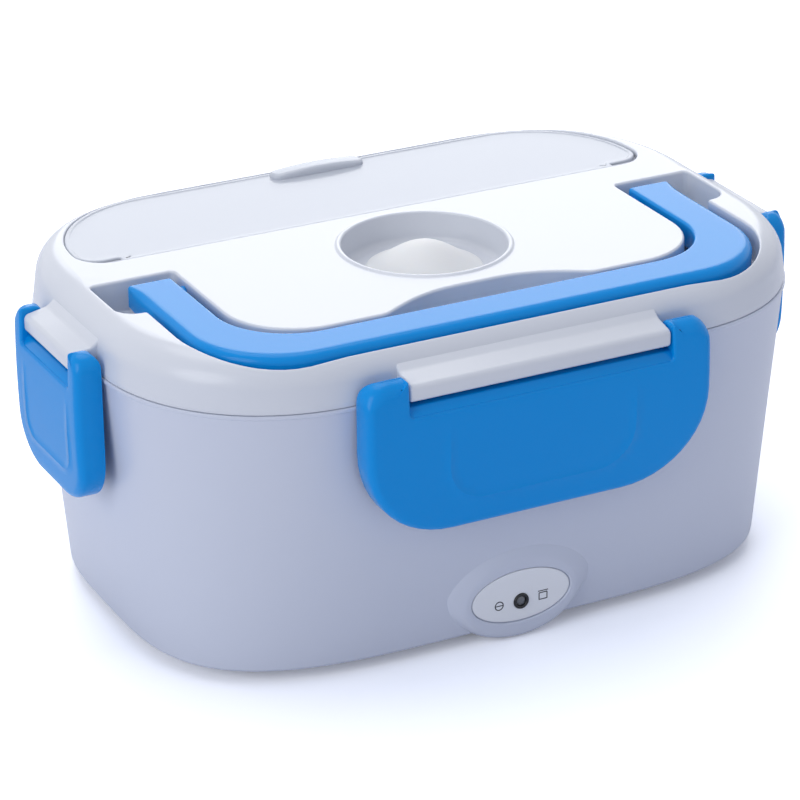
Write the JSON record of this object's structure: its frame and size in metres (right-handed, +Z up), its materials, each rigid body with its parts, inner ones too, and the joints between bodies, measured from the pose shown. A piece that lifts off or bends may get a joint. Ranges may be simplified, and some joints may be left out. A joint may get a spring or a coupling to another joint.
{
  "type": "electric lunch box",
  "caption": "Portable electric lunch box with a lift-off lid held by hinged clips, a folding bail handle, a steam plug, a spoon compartment and lift-out food bowls over a warm plate.",
  "frame": {"origin": "on the table under the middle of the box", "axes": "+X along the long side to the right, the front with the lamp faces -Y, +Z up"},
  "size_m": [0.2394, 0.1666, 0.1065],
  "materials": {
    "body_white": "satin moulded",
    "lid_white": "glossy moulded",
    "clip_blue": "glossy moulded",
    "bowl_milky": "translucent moulded",
    "cover_milky": "translucent moulded",
    "spoon_white": "glossy moulded",
    "silicone": "matt moulded",
    "seal": "matt moulded",
    "foot_rubber": "matt moulded",
    "screw_steel": "plated",
    "warm_plate": "brushed",
    "element": "cast case",
    "black_plastic": "moulded",
    "fuse_white": "ceramic",
    "wire_red": "insulated",
    "lamp_grey": "printed film",
    "lens": "clear",
    "board_green": "coated",
    "pin_brass": "plated"
  },
  "bodies": {
    "base": {"housing": "body_white", "base_cover": "body_white", "base_screws": "screw_steel", "feet": "foot_rubber", "heater_plate": "warm_plate", "plate_gasket": "seal", "heating_element": "element", "heater_clamp": "screw_steel", "clamp_screws": "screw_steel", "thermostat": "black_plastic", "thermal_fuse": "fuse_white", "wires": "wire_red", "lamp_plate": "lamp_grey", "lamp_bezel": "black_plastic", "lamp_lens": "lens", "led_board": "board_green", "power_inlet": "black_plastic", "inlet_pins": "pin_brass"},
    "bowl": {"food_container": "bowl_milky"},
    "dish": {"side_dish": "bowl_milky"},
    "lid": {"lid_shell": "lid_white", "lid_liner": "lid_white", "lid_gasket": "seal"},
    "front_clip": {"front_latch": "clip_blue"},
    "rear_clip": {"rear_latch": "clip_blue"},
    "left_clip": {"left_latch": "clip_blue"},
    "right_clip": {"right_latch": "clip_blue"},
    "bail": {"handle": "clip_blue"},
    "plug": {"vent_plug": "silicone"},
    "spoon_body": {"spoon": "spoon_white"},
    "cover": {"spoon_cover": "cover_milky"}
  },
  "joints": [
    {"name": "container_lift", "type": "slide", "parent": "base", "child": "bowl", "axis": [0, 0, 1], "range_m": [0, 0.08]},
    {"name": "dish_lift", "type": "slide", "parent": "bowl", "child": "dish", "axis": [0, 0, 1], "range_m": [0, 0.05]},
    {"name": "lid_lift", "type": "slide", "parent": "dish", "child": "lid", "axis": [0, 0, 1], "range_m": [0, 0.06]},
    {"name": "front_clip_hinge", "type": "hinge", "parent": "lid", "child": "front_clip", "pos_m": [0, -0.079, 0.0934], "axis": [-1, 0, 0], "range_deg": [0, 110]},
    {"name": "rear_clip_hinge", "type": "hinge", "parent": "lid", "child": "rear_clip", "pos_m": [0, 0.079, 0.0934], "axis": [1, 0, 0], "range_deg": [0, 110]},
    {"name": "left_clip_hinge", "type": "hinge", "parent": "lid", "child": "left_clip", "pos_m": [-0.1154, 0, 0.0934], "axis": [0, 1, 0], "range_deg": [0, 110]},
    {"name": "right_clip_hinge", "type": "hinge", "parent": "lid", "child": "right_clip", "pos_m": [0.1154, 0, 0.0934], "axis": [0, -1, 0], "range_deg": [0, 110]},
    {"name": "handle_hinge", "type": "hinge", "parent": "lid", "child": "bail", "pos_m": [0, -0.0015, 0.101], "axis": [-1, 0, 0], "range_deg": [0, 90]},
    {"name": "plug_lift", "type": "slide", "parent": "lid", "child": "plug", "axis": [0, 0, 1], "range_m": [0, 0.02]},
    {"name": "cover_hinge", "type": "hinge", "parent": "lid", "child": "cover", "pos_m": [0, 0.0232, 0.1038], "axis": [1, 0, 0], "range_deg": [0, 95]},
    {"name": "spoon_lift", "type": "slide", "parent": "lid", "child": "spoon_body", "axis": [0, 0, 1], "range_m": [0, 0.017]}
  ],
  "couplings": [
    {"joint": "spoon_lift", "follows": "cover_hinge", "m_per_rad": 0.01}
  ]
}
